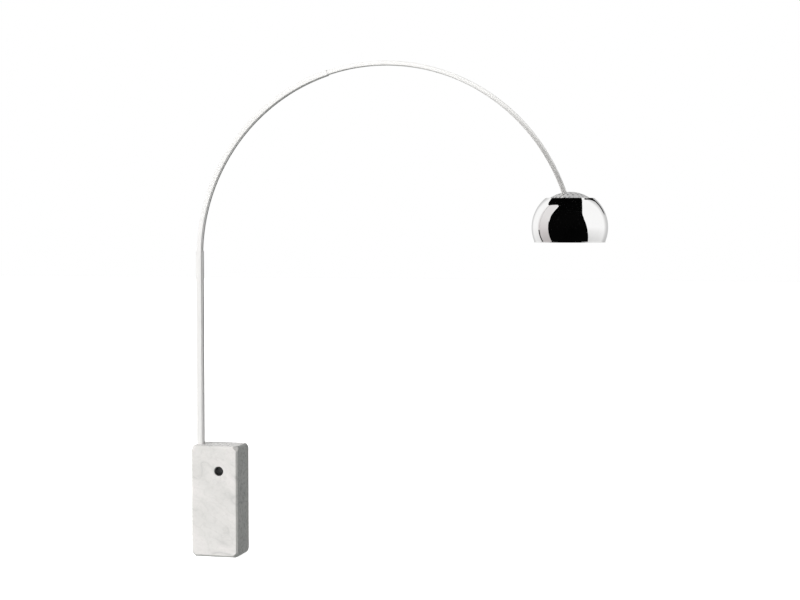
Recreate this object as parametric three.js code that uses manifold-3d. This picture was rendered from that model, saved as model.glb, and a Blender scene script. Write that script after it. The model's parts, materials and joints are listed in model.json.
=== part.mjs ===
// Arc floor lamp: a marble block carries a square steel stem, whose upper end telescopes into two
// curved channel sections. A perforated cap closes the end of the arc and a domed reflector hangs
// on the cap, free to tilt about the centre of the sphere that both belong to.
//
// Millimetres, +Z up, +X along the reach of the arc, +Y to the back. The origin is the centre of
// the base's underside. The stem and the arc lie in the plane y = STEM_Y.

import * as THREE from 'three';
import { mergeVertices } from 'three/addons/utils/BufferGeometryUtils.js';
import Module from 'manifold-3d';

const wasm = await Module();
wasm.setup();

// ---------------------------------------------------------------- driving dimensions

const GAP = 0.3; // clearance between pieces that touch

const BASE_WIDTH = 240; // along X
const BASE_DEPTH = 180; // along Y
const BASE_HEIGHT = 550;
const EDGE_CHAMFER = 8;
const CORNER_CUT = 30; // leg of the flat that takes off each corner
const FELT = 2;

const LIFTING_HOLE_X = 24;
const LIFTING_HOLE_Z = 426;
const LIFTING_HOLE_RADIUS = 22;
const LIFTING_HOLE_FLARE = 3;

const STEM_X = -94;
const STEM_Y = -20;
const STEM_FOOT_Z = 300; // floor of the pocket in the marble
const STEM_TOP_Z = 1508;

const ARC_RADIUS = 932;
const ARC_CENTRE_Z = 1478;
const MIDDLE_END_ANGLE = 107; // degrees round the arc, 180 at the stem and 90 at the top
const END_START_ANGLE = 125;
const HEAD_ANGLE = 19.5;
const TAIL = 200; // straight length of the middle section inside the stem

// Each channel: outer size, outer corner radius and wall.
const STEM = { size: 34, corner: 8, wall: 2 };
const MIDDLE = { size: 28, corner: 6.5, wall: 2 };
const END = { size: 22, corner: 5, wall: 1.8 };
const SLOT = 8; // opening along the inner side of every channel

const LEAD_RADIUS = 3.2;
const LEAD_HOLE = 3.9;
const INLET_Z = 24;
const INLET_BEND = 28;
const INLET_RECESS = 3; // depth of the seat for the inlet's flange
const STEM_CLIPS = [560, 800, 1040]; // heights of the lead clips in the stem
const MIDDLE_CLIP_ANGLE = 174;
const END_CLIP_ANGLES = [108, 78, 48];
// The lead has no clip between these two angles, where its spare length slides.
const MIDDLE_LEAD_END = 166;
const END_LEAD_START = 150;

const ANCHOR_RADIUS = 8;
const ANCHOR_BOTTOM = 57;
const FOOT_BLOCK_HEIGHT = 60;
const FOOT_SCREW_Z = STEM_FOOT_Z + 40;
const FOOT_SCREW_RADIUS = 3;
const COUNTERBORE_RADIUS = 17;
const COUNTERBORE_TOP = 75;
const WASHER = 3;
const ANCHOR_NUT = { width: 24, height: 12.5 };

// Clamp screws that hold the two telescoping joints, and the bosses that they pass through.
const STEM_LOCK = { bore: 4.3, boss: 8, height: 7, shank: 4, head: 6.5 };
const ARC_LOCK = { bore: 3.3, boss: 6.5, height: 6, shank: 3, head: 5 };
const LOCK_REACH = 2.6; // how far a clamp screw goes in from the channel's face
const STEM_LOCK_Z = STEM_TOP_Z - 26;
const ARC_LOCK_ANGLE = MIDDLE_END_ANGLE + 1.6;

// The head: cap and bowl are parts of two spheres with one centre.
const CAP_RADIUS = 166;
const CAP_WALL = 1.5;
const CAP_REACH = 58; // degrees from the top to the cap's hidden edge
const CAP_OFFSET = 27.5; // from the arc's end to the axis of the head
const HOLE_PITCH = 23.5;
const HOLE_RADIUS = 5.5;
const HOLE_RINGS = 4;
const BOWL_RADIUS = 178;
const BOWL_WALL = 1.5;
const BOWL_TOP = 40.5; // degrees from the top to the turned-in lip
const BOWL_RIM_Z = -70;
const LIP_INNER = 99;
const ROUND = 32; // sides of the cap, the bowl and the rings between them

const STALK_RADIUS = 6;
const STALK_BORE = 4.2;
const STALK_BEND = 40;
const STALK_END_Z = 60; // seen from the head's centre, as all of the lampholder is
const STALK_TAIL = 26; // from the cap's skin up into the arc
const STALK_NUT_WIDTH = 17;
const LEAD_END_Z = 53;
const COVER_TOP_Z = 73;
const PLUG_ANGLE = HEAD_ANGLE + 1.4; // where the middle of the plug in the arc's end lies
const PLUG_HALF = 9;

// ---------------------------------------------------------------- small helpers

const radians = THREE.MathUtils.degToRad;
const lamp = new THREE.Group();

function piece(parent, name, geometry, colour, roughness, metalness) {
  const material = new THREE.MeshStandardMaterial({ color: colour, roughness, metalness });
  const mesh = new THREE.Mesh(geometry, material);
  mesh.name = name;
  parent.add(mesh);
  return mesh;
}

function group(x, y, z, parent = lamp) {
  const place = new THREE.Group();
  place.position.set(x, y, z);
  parent.add(place);
  return place;
}

function toSolid(geometry) {
  const bare = geometry.clone();
  bare.deleteAttribute('normal');
  bare.deleteAttribute('uv');
  const merged = mergeVertices(bare, 1e-4);
  const corners = merged.index.array;
  const triangles = [];
  for (let i = 0; i < corners.length; i += 3) {
    const [a, b, c] = corners.slice(i, i + 3);
    if (a !== b && b !== c && c !== a) triangles.push(a, b, c);
  }
  return new wasm.Manifold(new wasm.Mesh({
    numProp: 3,
    vertProperties: new Float32Array(merged.attributes.position.array),
    triVerts: new Uint32Array(triangles)
  }));
}

function toGeometry(solid) {
  const mesh = solid.getMesh();
  const geometry = new THREE.BufferGeometry();
  geometry.setAttribute('position', new THREE.BufferAttribute(mesh.vertProperties, 3));
  geometry.setIndex(new THREE.BufferAttribute(mesh.triVerts, 1));
  geometry.computeVertexNormals();
  return geometry;
}

function cut(geometry, tools) {
  return toGeometry(tools.reduce((solid, tool) => solid.subtract(toSolid(tool)), toSolid(geometry)));
}

function common(geometry, other) {
  return toGeometry(toSolid(geometry).intersect(toSolid(other)));
}

// Points of an arc in the plane of a profile, angles in degrees.
function arc(x, y, radius, from, to, steps) {
  return Array.from({ length: steps + 1 }, (_, i) => {
    const angle = radians(from + (to - from) * i / steps);
    return new THREE.Vector2(x + radius * Math.cos(angle), y + radius * Math.sin(angle));
  });
}

// A round solid about Z from its closed profile of [radius, height] pairs.
function turned(profile, sides) {
  const points = profile.map((p) => (p.isVector2 ? p : new THREE.Vector2(p[0], p[1])));
  return new THREE.LatheGeometry(points, sides).rotateX(Math.PI / 2);
}

function tube(inner, outer, bottom, top, sides) {
  const profile = [[inner, bottom], [outer, bottom], [outer, top], [inner, top], [inner, bottom]];
  return turned(profile, sides);
}

function rod(radius, bottom, top, sides) {
  const length = top - bottom;
  const geometry = new THREE.CylinderGeometry(radius, radius, length, sides);
  return geometry.rotateX(Math.PI / 2).translate(0, 0, (bottom + top) / 2);
}

// Turns a piece made along Z so that it points to the back or to the front, at height z.
const towardsBack = (geometry, z) => geometry.rotateX(-Math.PI / 2).translate(0, 0, z);
const towardsFront = (geometry, z) => geometry.rotateX(Math.PI / 2).translate(0, 0, z);

function plate(outline, holes, bottom, top) {
  const shape = new THREE.Shape(outline);
  shape.holes = holes.map((hole) => new THREE.Path(hole));
  const geometry = new THREE.ExtrudeGeometry(shape, { depth: top - bottom, bevelEnabled: false });
  return geometry.translate(0, 0, bottom);
}

function circle(radius, sides) {
  return arc(0, 0, radius, 0, 360, sides).slice(0, sides);
}

function roundedSquare(size, corner, steps = 3) {
  const c = size / 2 - corner;
  return [
    ...arc(c, c, corner, 0, 90, steps),
    ...arc(-c, c, corner, 90, 180, steps),
    ...arc(-c, -c, corner, 180, 270, steps),
    ...arc(c, -c, corner, 270, 360, steps)
  ];
}

// Outline of a piece that fits inside a channel.
function fitting({ size, corner, wall }, clearance = GAP) {
  return roundedSquare(size - 2 * wall - 2 * clearance, corner - wall + 1, 1);
}

function hexNut(width, bore, bottom, top) {
  return plate(circle(width / Math.sqrt(3), 6), [circle(bore, 16)], bottom, top);
}

// Outline of a square channel whose slot is in the middle of its +y side.
function channelOutline({ size, corner, wall }) {
  const half = size / 2;
  const centre = half - corner;
  const inner = corner - wall;
  const outside = [
    ...arc(centre, centre, corner, 90, 0, 2),
    ...arc(centre, -centre, corner, 0, -90, 2),
    ...arc(-centre, -centre, corner, -90, -180, 2),
    ...arc(-centre, centre, corner, -180, -270, 2)
  ];
  const inside = [
    ...arc(-centre, centre, inner, 90, 180, 2),
    ...arc(-centre, -centre, inner, 180, 270, 2),
    ...arc(centre, -centre, inner, 270, 360, 2),
    ...arc(centre, centre, inner, 0, 90, 2)
  ];
  const lip = SLOT / 2;
  return new THREE.Shape([
    new THREE.Vector2(lip, half),
    ...outside,
    new THREE.Vector2(-lip, half),
    new THREE.Vector2(-lip, half - wall),
    ...inside,
    new THREE.Vector2(lip, half - wall)
  ]);
}

// A route through knots, each a point with the direction the route has there.
class Route extends THREE.Curve {
  constructor() {
    super();
    this.knots = [];
  }

  line(from, to) {
    const direction = to.clone().sub(from).normalize();
    this.knots.push({ point: from, direction }, { point: to, direction });
    return this;
  }

  // Turns about centre, from the unit vector `out` towards the unit vector `along`.
  bend(centre, radius, out, along, fromAngle, toAngle, steps) {
    for (let i = 0; i <= steps; i++) {
      const angle = radians(fromAngle + (toAngle - fromAngle) * i / steps);
      const outward = out.clone().multiplyScalar(Math.cos(angle)).addScaledVector(along, Math.sin(angle));
      const direction = out.clone().multiplyScalar(-Math.sin(angle)).addScaledVector(along, Math.cos(angle));
      direction.multiplyScalar(Math.sign(toAngle - fromAngle));
      this.knots.push({ point: centre.clone().addScaledVector(outward, radius), direction });
    }
    return this;
  }

  // Sweeps a shape along the route; knots that repeat the one before them are dropped.
  sweep(shape) {
    this.knots = this.knots.filter((knot, i, all) => !i || knot.point.distanceTo(all[i - 1].point) > 0.01);
    return new THREE.ExtrudeGeometry(shape, {
      steps: this.knots.length - 1,
      extrudePath: this,
      bevelEnabled: false
    });
  }

  getPointAt(u, target = new THREE.Vector3()) {
    return target.copy(this.knots[Math.round(u * (this.knots.length - 1))].point);
  }

  getTangentAt(u, target = new THREE.Vector3()) {
    return target.copy(this.knots[Math.round(u * (this.knots.length - 1))].direction);
  }
}

const X = new THREE.Vector3(1, 0, 0);
const Y = new THREE.Vector3(0, 1, 0);
const Z = new THREE.Vector3(0, 0, 1);
const vector = (x, y, z) => new THREE.Vector3(x, y, z);

const ARC_CENTRE = vector(STEM_X + ARC_RADIUS, STEM_Y, ARC_CENTRE_Z);

function arcPoint(angle) {
  const a = radians(angle);
  return vector(Math.cos(a), 0, Math.sin(a)).multiplyScalar(ARC_RADIUS).add(ARC_CENTRE);
}

function addArc(route, from, to, step) {
  return route.bend(ARC_CENTRE, ARC_RADIUS, X, Z, from, to, Math.ceil((from - to) / step));
}

// A frame on the arc: its z runs along the arc towards the head, its x is level and to the front.
function arcFrame(angle) {
  const place = group(0, 0, 0);
  const a = radians(angle);
  const along = vector(Math.sin(a), 0, -Math.cos(a));
  const front = Y.clone().negate();
  place.matrix.makeBasis(front, along.clone().cross(front), along).setPosition(arcPoint(angle));
  place.matrix.decompose(place.position, place.quaternion, place.scale);
  return place;
}

const leadShape = new THREE.Shape(circle(LEAD_RADIUS, 6));

const SATIN_STEEL = [0xc9c9c6, 0.32, 1];
const POLISHED = [0xe4e4e4, 0.06, 1];
const ZINC = [0xa9abae, 0.42, 1];
const BRASS = [0xb99b55, 0.35, 1];
const POLYMER = [0x26262a, 0.55, 0];
const SHEATH = [0x1c1c1e, 0.5, 0];
const CERAMIC = [0xece9e1, 0.3, 0];

// ---------------------------------------------------------------- base

const stemAxis = group(STEM_X, STEM_Y, 0);
const GLAND_RADIUS = 7.7;
const GLAND_FLANGE = 13;
const FELT_INSET = 14;

// A square bar with all four edges chamfered, along Z.
function chamferedBar(a, b, length) {
  const c = EDGE_CHAMFER;
  const outline = [
    [a, b - c], [a - c, b], [c - a, b], [-a, b - c], [-a, c - b], [c - a, -b], [a - c, -b], [a, c - b]
  ].map(([x, y]) => new THREE.Vector2(x, y));
  return plate(outline, [], -length / 2, length / 2);
}

function marbleBlock() {
  const bottom = FELT + GAP;
  const [w, d, h] = [BASE_WIDTH / 2, BASE_DEPTH / 2, (BASE_HEIGHT - bottom) / 2];
  const upright = chamferedBar(w, d, 2 * h);
  const sideways = chamferedBar(h, d, 2 * w).rotateY(Math.PI / 2);
  const through = chamferedBar(w, h, 2 * d).rotateX(Math.PI / 2);
  const cornerCutter = new THREE.OctahedronGeometry(w + d + h - CORNER_CUT);
  const block = [sideways, through, cornerCutter].reduce(common, upright).translate(0, 0, bottom + h);

  const r = LIFTING_HOLE_RADIUS;
  const flare = LIFTING_HOLE_FLARE;
  const liftingHole = turned([
    [0, -d - 1], [r + flare + 1, -d - 1], [r, flare - d], [r, d - flare], [r + flare + 1, d + 1], [0, d + 1]
  ], 20).rotateX(Math.PI / 2).translate(LIFTING_HOLE_X, 0, LIFTING_HOLE_Z);

  const pocketSize = STEM.size + 2 * GAP;
  const pocket = plate(roundedSquare(pocketSize, STEM.corner + GAP), [], STEM_FOOT_Z, BASE_HEIGHT + 1);
  const boltHole = rod(ANCHOR_RADIUS + 1, COUNTERBORE_TOP - 1, STEM_FOOT_Z + 1, 16);
  const counterbore = rod(COUNTERBORE_RADIUS, bottom - 1, COUNTERBORE_TOP, 16);
  const back = d - STEM_Y;
  const inletHole = towardsBack(rod(GLAND_RADIUS + GAP, 0, back + 1, 16), INLET_Z);
  const inletRecess = rod(GLAND_FLANGE + 0.5, back - INLET_RECESS, back + 1, 16);
  towardsBack(inletRecess, INLET_Z);
  const stemTools = [pocket, boltHole, counterbore, inletHole, inletRecess];
  stemTools.forEach((tool) => tool.translate(STEM_X, STEM_Y, 0));
  return cut(block, [liftingHole, ...stemTools]);
}

piece(lamp, 'marble_block', marbleBlock(), 0xe2dfdb, 0.35, 0);

const feltOutline = [[-1, -1], [1, -1], [1, 1], [-1, 1]].map(([x, y]) => (
  new THREE.Vector2(x * (BASE_WIDTH / 2 - FELT_INSET), y * (BASE_DEPTH / 2 - FELT_INSET))));
piece(lamp, 'felt_pad', plate(feltOutline, [], 0, FELT), 0x3d3d3f, 0.95, 0);

// ---------------------------------------------------------------- stem and its anchor

function stemPost() {
  const route = new Route().line(vector(STEM_X, STEM_Y, STEM_FOOT_Z), vector(STEM_X, STEM_Y, STEM_TOP_Z));
  const channel = route.sweep(channelOutline(STEM));
  const half = STEM.size / 2;
  const screwHole = (radius) => rod(radius + 0.4, half - 5, half + 5, 12);
  const holes = [
    towardsBack(screwHole(STEM_LOCK.shank), STEM_LOCK_Z),
    towardsBack(screwHole(FOOT_SCREW_RADIUS), FOOT_SCREW_Z),
    towardsFront(screwHole(FOOT_SCREW_RADIUS), FOOT_SCREW_Z)
  ];
  holes.forEach((hole) => hole.translate(STEM_X, STEM_Y, 0));
  return cut(channel, holes);
}

piece(lamp, 'stem_post', stemPost(), ...SATIN_STEEL);

const studHole = circle(ANCHOR_RADIUS + GAP, 16);
const footBlock = plate(fitting(STEM), [studHole], STEM_FOOT_Z + GAP, STEM_FOOT_Z + FOOT_BLOCK_HEIGHT);
const footScrewHoles = [towardsBack, towardsFront].map((turn) => (
  turn(rod(FOOT_SCREW_RADIUS + GAP, ANCHOR_RADIUS, STEM.size / 2, 12), FOOT_SCREW_Z)));
piece(stemAxis, 'stem_foot_block', cut(footBlock, footScrewHoles), ...ZINC);

const footScrew = () => rod(FOOT_SCREW_RADIUS, ANCHOR_RADIUS + 1, STEM.size / 2, 12);
piece(stemAxis, 'foot_screw_back', towardsBack(footScrew(), FOOT_SCREW_Z), ...ZINC);
piece(stemAxis, 'foot_screw_front', towardsFront(footScrew(), FOOT_SCREW_Z), ...ZINC);

const anchorStud = tube(ANCHOR_RADIUS - 3.4, ANCHOR_RADIUS, ANCHOR_BOTTOM, STEM_FOOT_Z + 46, 16);
piece(stemAxis, 'anchor_stud', anchorStud, ...ZINC);
const washerTop = COUNTERBORE_TOP - GAP;
piece(stemAxis, 'anchor_washer', tube(ANCHOR_RADIUS + 0.6, 15, washerTop - WASHER, washerTop, 16), ...ZINC);
const nutTop = washerTop - WASHER - GAP;
const anchorNut = hexNut(ANCHOR_NUT.width, ANCHOR_RADIUS + GAP, nutTop - ANCHOR_NUT.height, nutTop);
piece(stemAxis, 'anchor_nut', anchorNut, ...ZINC);

function lockBoss(channel, { bore, boss, height }) {
  return tube(bore, boss, channel.size / 2 + GAP, channel.size / 2 + height, 16);
}

// A clamp screw: its shank goes through the boss, and its head has a hexagonal socket.
function lockScrew(channel, { shank, head, height }) {
  const face = channel.size / 2;
  const seat = face + height + GAP;
  const screw = turned([
    [0, face - LOCK_REACH], [shank, face - LOCK_REACH], [shank, seat],
    [head, seat], [head, seat + head], [0, seat + head]
  ], 16);
  return cut(screw, [rod(head * 0.55, seat + head * 0.5, seat + head * 2, 6)]);
}

piece(stemAxis, 'stem_lock_boss', towardsBack(lockBoss(STEM, STEM_LOCK), STEM_LOCK_Z), ...SATIN_STEEL);
piece(stemAxis, 'stem_lock_screw', towardsBack(lockScrew(STEM, STEM_LOCK), STEM_LOCK_Z), ...ZINC);

// ---------------------------------------------------------------- inlet and the lead in the stem

const backFace = BASE_DEPTH / 2 - STEM_Y; // seen from the stem's axis
const glandEnd = backFace - 30;
const flangeSeat = backFace - INLET_RECESS + GAP;
const gland = turned([
  [LEAD_HOLE, glandEnd], [GLAND_RADIUS, glandEnd], [GLAND_RADIUS, flangeSeat], [GLAND_FLANGE, flangeSeat],
  [GLAND_FLANGE, backFace - 1], [GLAND_FLANGE - 1.5, backFace], [LEAD_HOLE + 1.2, backFace],
  [LEAD_HOLE, backFace - 2], [LEAD_HOLE, glandEnd]
], 16);
piece(stemAxis, 'cable_inlet', towardsBack(gland, INLET_Z), ...POLYMER);

const TAIL_END_Z = ARC_CENTRE_Z - TAIL;
const GLIDE_FLANGE = 6;
const stemLeadTop = TAIL_END_Z - GLIDE_FLANGE - GAP;
const bendCentre = vector(0, INLET_BEND, INLET_Z + INLET_BEND);
const stemLead = new Route()
  .line(vector(0, glandEnd + 4, INLET_Z), vector(0, INLET_BEND, INLET_Z))
  .bend(bendCentre, INLET_BEND, Y, Z, -90, -180, 6)
  .line(vector(0, 0, INLET_Z + INLET_BEND), vector(0, 0, stemLeadTop));
piece(stemAxis, 'stem_lead', stemLead.sweep(leadShape), ...SHEATH);

const leadClip = (channel) => plate(fitting(channel), [circle(LEAD_HOLE, 12)], -5, 5);
STEM_CLIPS.forEach((z, i) => {
  piece(group(0, 0, z, stemAxis), `stem_lead_clip_${i + 1}`, leadClip(STEM), ...POLYMER);
});

// ---------------------------------------------------------------- middle section of the arc

// A slider of dark polymer: a flange outside the channel's end and a spigot inside it.
function glide(channel, guide, clearance, spigot) {
  const outer = plate(fitting(guide, clearance), [], -GLIDE_FLANGE, -GAP);
  const inner = plate(fitting(channel), [], -GAP - 1, spigot);
  const joined = toSolid(outer).add(toSolid(inner));
  return toGeometry(joined.subtract(toSolid(rod(LEAD_HOLE, -GLIDE_FLANGE - 1, spigot + 1, 12))));
}

function middleSection() {
  const route = new Route().line(vector(STEM_X, STEM_Y, TAIL_END_Z), vector(STEM_X, STEM_Y, ARC_CENTRE_Z));
  const channel = addArc(route, 180, MIDDLE_END_ANGLE, 3).sweep(channelOutline(MIDDLE));
  const half = MIDDLE.size / 2;
  const hole = rod(ARC_LOCK.shank + 0.4, half - 5, half + 5, 12).rotateX(-Math.PI / 2);
  const place = arcPoint(ARC_LOCK_ANGLE);
  return cut(channel, [hole.translate(place.x, place.y, place.z)]);
}

piece(lamp, 'arc_middle_section', middleSection(), ...SATIN_STEEL);
piece(group(0, 0, TAIL_END_Z, stemAxis), 'tail_glide', glide(MIDDLE, STEM, GAP, 18), ...POLYMER);

const upperLock = arcPoint(ARC_LOCK_ANGLE);
const upperLockPlace = group(upperLock.x, upperLock.y, upperLock.z);
piece(upperLockPlace, 'arc_lock_boss', towardsBack(lockBoss(MIDDLE, ARC_LOCK), 0), ...SATIN_STEEL);
piece(upperLockPlace, 'arc_lock_screw', towardsBack(lockScrew(MIDDLE, ARC_LOCK), 0), ...ZINC);

const middleLead = new Route().line(
  vector(STEM_X, STEM_Y, stemLeadTop + GAP), vector(STEM_X, STEM_Y, ARC_CENTRE_Z));
piece(lamp, 'middle_lead', addArc(middleLead, 180, MIDDLE_LEAD_END, 3.5).sweep(leadShape), ...SHEATH);
piece(arcFrame(MIDDLE_CLIP_ANGLE), 'middle_lead_clip', leadClip(MIDDLE), ...POLYMER);

// ---------------------------------------------------------------- end section of the arc

const capTop = Math.sqrt(CAP_RADIUS ** 2 - CAP_OFFSET ** 2);
const arcEnd = arcPoint(HEAD_ANGLE);
const HEAD = vector(arcEnd.x + CAP_OFFSET, STEM_Y, arcEnd.z - capTop);
const head = group(HEAD.x, HEAD.y, HEAD.z);
const headFrame = arcFrame(HEAD_ANGLE);
const ball = (radius, sides) => new THREE.SphereGeometry(radius, sides, sides / 2).rotateX(Math.PI / 2);

function endSection() {
  const channel = addArc(new Route(), END_START_ANGLE, HEAD_ANGLE - 1, 3).sweep(channelOutline(END));
  const half = END.size / 2;
  const place = arcPoint(PLUG_ANGLE);
  const screwHole = rod(2.4, half - 4, half + 4, 10).rotateX(-Math.PI / 2);
  screwHole.translate(place.x, place.y, place.z);
  const capSpace = ball(CAP_RADIUS + GAP, 48).translate(HEAD.x, HEAD.y, HEAD.z);
  return cut(channel, [screwHole, capSpace]);
}

piece(lamp, 'arc_end_section', endSection(), ...SATIN_STEEL);
piece(arcFrame(END_START_ANGLE), 'end_glide', glide(END, MIDDLE, 0.8, 8), ...POLYMER);

const plugBlock = plate(fitting(END, 0.6), [circle(STALK_RADIUS + 0.8, 16)], -PLUG_HALF, PLUG_HALF);
piece(arcFrame(PLUG_ANGLE), 'end_plug', plugBlock, ...ZINC);

const plugScrew = rod(2, END.size / 2 - END.wall, END.size / 2, 12).rotateX(-Math.PI / 2);
const plugScrewPlace = arcPoint(PLUG_ANGLE);
plugScrew.translate(plugScrewPlace.x, plugScrewPlace.y, plugScrewPlace.z);
piece(lamp, 'end_plug_screw', plugScrew, ...ZINC);

END_CLIP_ANGLES.forEach((angle, i) => {
  piece(arcFrame(angle), `end_lead_clip_${i + 1}`, leadClip(END), ...POLYMER);
});

// ---------------------------------------------------------------- stalk, lead and lampholder

// Down the stalk: on the arc's tangent through the cap, then bent upright on the head's axis.
const tangent = vector(Math.sin(radians(HEAD_ANGLE)), 0, -Math.cos(radians(HEAD_ANGLE)));
const bendPoint = vector(0, 0, capTop - CAP_OFFSET / Math.tan(radians(HEAD_ANGLE)));
const bendLength = STALK_BEND * Math.tan(radians(HEAD_ANGLE / 2));

function stalkRoute(startPoint, endZ) {
  const bendStart = bendPoint.clone().addScaledVector(tangent, -bendLength);
  const bendEnd = vector(0, 0, bendPoint.z - bendLength);
  const centre = vector(-STALK_BEND, 0, bendEnd.z);
  return new Route()
    .line(startPoint, bendStart)
    .bend(centre, STALK_BEND, X, Z, HEAD_ANGLE, 0, 3)
    .line(bendEnd, vector(0, 0, endZ));
}

const stalkTop = vector(-CAP_OFFSET, 0, capTop).addScaledVector(tangent, -STALK_TAIL);
const stalkShape = new THREE.Shape(circle(STALK_RADIUS, 12));
stalkShape.holes = [new THREE.Path(circle(STALK_BORE, 12))];
piece(head, 'lamp_stalk', stalkRoute(stalkTop, STALK_END_Z).sweep(stalkShape), ...ZINC);

const SADDLE = { radius: 15, bottom: -6, top: 12 }; // along the stalk, from the cap's skin
const saddleBlock = tube(STALK_RADIUS + GAP, SADDLE.radius, SADDLE.bottom, SADDLE.top, 16);
saddleBlock.applyMatrix4(new THREE.Matrix4().makeRotationFromQuaternion(
  new THREE.Quaternion().setFromUnitVectors(Z, tangent)));
saddleBlock.translate(-CAP_OFFSET, 0, capTop);
const capInside = ball(CAP_RADIUS - CAP_WALL - 1.4, 32);
piece(head, 'cap_saddle', common(saddleBlock, capInside), ...ZINC);
const capNut = hexNut(STALK_NUT_WIDTH, STALK_RADIUS + GAP, SADDLE.top + GAP, SADDLE.top + 6);
piece(headFrame, 'cap_nut', capNut, ...ZINC);

// The lead in the head's frame: round the arc, down the stalk and into the lampholder.
const arcCentreInHead = ARC_CENTRE.clone().sub(HEAD);
const endLead = new Route().bend(arcCentreInHead, ARC_RADIUS, X, Z, END_LEAD_START, HEAD_ANGLE, 34);
endLead.knots.push(...stalkRoute(vector(-CAP_OFFSET, 0, capTop), LEAD_END_Z).knots);
piece(head, 'end_lead', endLead.sweep(leadShape), ...SHEATH);

const holderNut = (bottom, top) => hexNut(STALK_NUT_WIDTH, STALK_RADIUS + GAP, bottom, top);
piece(head, 'cover_locknut', holderNut(COVER_TOP_Z + GAP, COVER_TOP_Z + 4), ...ZINC);
piece(head, 'stalk_nut', holderNut(COVER_TOP_Z - 6.5, COVER_TOP_Z - 1.8), ...ZINC);
piece(head, 'holder_cover', turned([
  [STALK_RADIUS + GAP, COVER_TOP_Z], [STALK_RADIUS + GAP, 71.5], [16.5, 71.5], [18.5, 69.5], [18.5, 49],
  [20, 49], [20, 70.5], [17.5, COVER_TOP_Z], [STALK_RADIUS + GAP, COVER_TOP_Z]
], 16), ...POLYMER);
piece(head, 'holder_insulator', tube(LEAD_HOLE, 17.8, 52.2, 57, 16), ...CERAMIC);
piece(head, 'centre_contact', rod(5, 50.5, 51.7, 12), ...BRASS);
piece(head, 'thread_sleeve', tube(13.6, 14.4, 24, 51.7, 16), ...BRASS);
piece(head, 'holder_skirt', turned([
  [14.8, 20], [19, 20], [19, 48.7], [18.1, 48.7], [18.1, 51.8], [14.8, 51.8], [14.8, 20]
], 16), ...POLYMER);
piece(head, 'holder_ring', tube(19.4, 23, 22, 32, 16), ...POLYMER);

// ---------------------------------------------------------------- bulb

piece(head, 'bulb_screw_shell', turned([
  [0, 48.4], [8.5, 48.4], [13.2, 45], [13.2, 25], [12.4, 25], [12.4, 44.6], [8.2, 47.6], [0, 47.6]
].reverse(), 16), 0xb8b9bb, 0.3, 1);
piece(head, 'bulb_contact', turned([[0, 48.7], [5, 48.7], [3.5, 50.2], [0, 50.2]], 12), ...BRASS);
piece(head, 'bulb_glass', turned([
  new THREE.Vector2(0, -50),
  ...arc(0, -20, 30, -75, 20, 6),
  new THREE.Vector2(18, 10),
  new THREE.Vector2(13.4, 18),
  new THREE.Vector2(12.1, 26),
  new THREE.Vector2(12.1, 42),
  new THREE.Vector2(0, 44)
], 16), 0xf4f1ea, 0.25, 0);

// ---------------------------------------------------------------- perforated cap

// Points of a sphere's meridian; angles in degrees from the top.
const meridian = (radius, from, to, steps) => arc(0, 0, radius, 90 - from, 90 - to, steps);

function perforatedCap() {
  const shell = turned([
    ...meridian(CAP_RADIUS - CAP_WALL, 0, CAP_REACH, 6),
    ...meridian(CAP_RADIUS, CAP_REACH, 0, 6)
  ], ROUND);
  const stalkHole = rod(STALK_RADIUS + GAP, -20, 20, 16);
  stalkHole.applyMatrix4(new THREE.Matrix4().makeRotationFromQuaternion(
    new THREE.Quaternion().setFromUnitVectors(Z, tangent)));
  stalkHole.translate(-CAP_OFFSET, 0, capTop);
  const holes = [stalkHole];
  for (let ring = 1; ring <= HOLE_RINGS; ring++) {
    const tilt = ring * HOLE_PITCH / CAP_RADIUS;
    for (let i = 0; i < 6 * ring; i++) {
      const turn = (i + 0.5) * Math.PI / (3 * ring);
      const hole = rod(HOLE_RADIUS, CAP_RADIUS - 8, CAP_RADIUS + 8, 6).rotateY(tilt).rotateZ(turn);
      const x = CAP_RADIUS * Math.sin(tilt) * Math.cos(turn);
      const y = CAP_RADIUS * Math.sin(tilt) * Math.sin(turn);
      if (Math.hypot(x + CAP_OFFSET, y) > END.size * 0.9) holes.push(hole);
    }
  }
  return cut(shell, holes);
}

piece(head, 'perforated_cap', perforatedCap(), ...POLISHED);

// ---------------------------------------------------------------- rings and reflector

// The slip ring and the seat ring ride on the cap as zones of concentric spheres.
const SLIP = { from: 35, to: 42, inner: CAP_RADIUS + 0.6, outer: CAP_RADIUS + 1.3 };
const slipProfile = [
  ...meridian(SLIP.inner, SLIP.from, SLIP.to, 2),
  ...meridian(SLIP.outer, SLIP.to, SLIP.from, 2)
];
piece(head, 'slip_ring', turned([...slipProfile, slipProfile[0]], ROUND), 0xd8d6d0, 0.5, 0);

const lipZ = 136.4; // underside of the bowl's turned-in lip
const seatRadius = SLIP.outer + 0.6;
const seatTop = lipZ - GAP;
const seatFrom = THREE.MathUtils.radToDeg(Math.acos((seatTop - 0.8) / seatRadius));
const seatProfile = [
  ...meridian(seatRadius, seatFrom, 41, 2),
  new THREE.Vector2(seatRadius * Math.sin(radians(41)), seatTop - 2.4),
  new THREE.Vector2(seatRadius * Math.sin(radians(seatFrom)), seatTop)
];
piece(head, 'seat_ring', turned([...seatProfile, seatProfile[0]], ROUND), 0x2b2b2e, 0.6, 0);

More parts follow.
